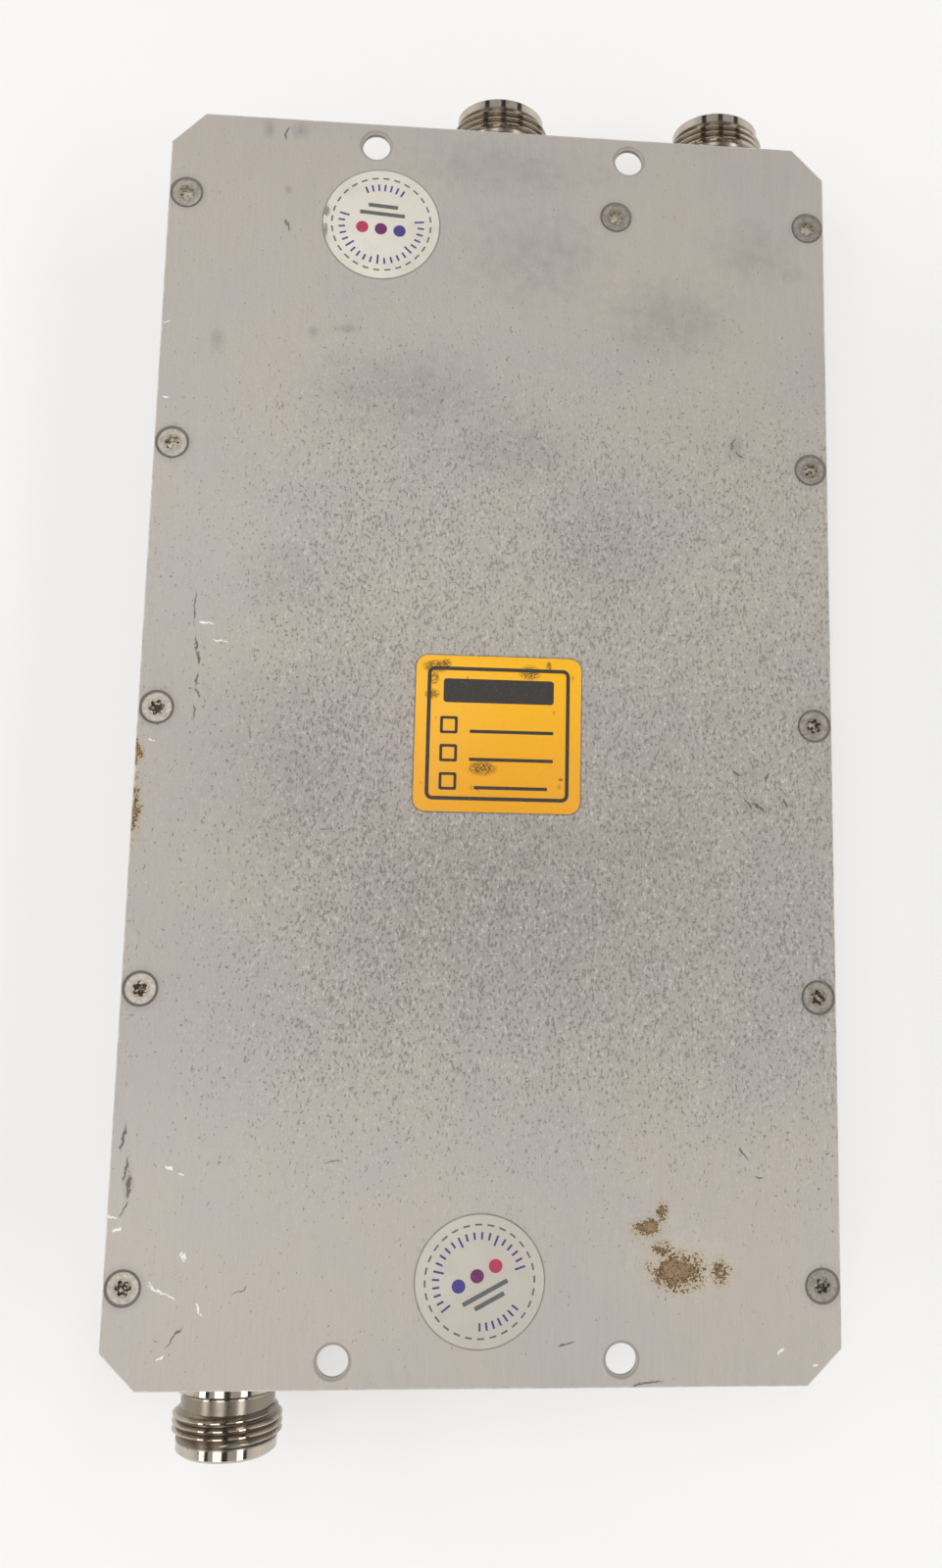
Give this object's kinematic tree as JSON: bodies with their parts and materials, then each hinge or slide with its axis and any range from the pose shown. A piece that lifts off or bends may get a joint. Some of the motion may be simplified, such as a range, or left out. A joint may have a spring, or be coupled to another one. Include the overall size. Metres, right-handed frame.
{
  "type": "rf directional coupler",
  "caption": "Flat coaxial directional coupler: milled metal housing under a long screwed cover plate with mounting ears, and threaded coaxial jacks on both ends.",
  "frame": {"origin": "centre of the underside, under the middle of the overall box", "axes": "+Z out of the cover plate, +Y along the length to the end with two jacks, +X across to the outer jack of that end"},
  "size_m": [0.103, 0.2138, 0.0346],
  "materials": {
    "housing": "satin",
    "plate": "satin",
    "screws": "satin",
    "jack_shell": "polished",
    "white_plastic": "matte",
    "contact": "polished",
    "strip": "satin",
    "load_metal": "satin",
    "ceramic": "matte",
    "yellow_label": "satin",
    "round_seal": "satin"
  },
  "bodies": {
    "root": {"housing": "housing", "cover_plate": "plate", "cover_screws": "screws", "left_jack_shell": "jack_shell", "centre_jack_shell": "jack_shell", "right_jack_shell": "jack_shell", "left_jack_bead": "white_plastic", "centre_jack_bead": "white_plastic", "right_jack_bead": "white_plastic", "left_jack_contact": "contact", "centre_jack_contact": "contact", "right_jack_contact": "contact", "jack_flange_screws": "screws", "main_strip": "strip", "coupled_strip": "strip", "main_strip_posts": "white_plastic", "coupled_strip_posts": "white_plastic", "main_strip_caps": "white_plastic", "coupled_strip_caps": "white_plastic", "load_flange": "load_metal", "load_substrate": "ceramic", "load_lid": "ceramic", "load_tab": "contact", "load_screws": "screws", "square_label": "yellow_label", "upper_seal": "round_seal", "lower_seal": "round_seal"}
  },
  "joints": []
}
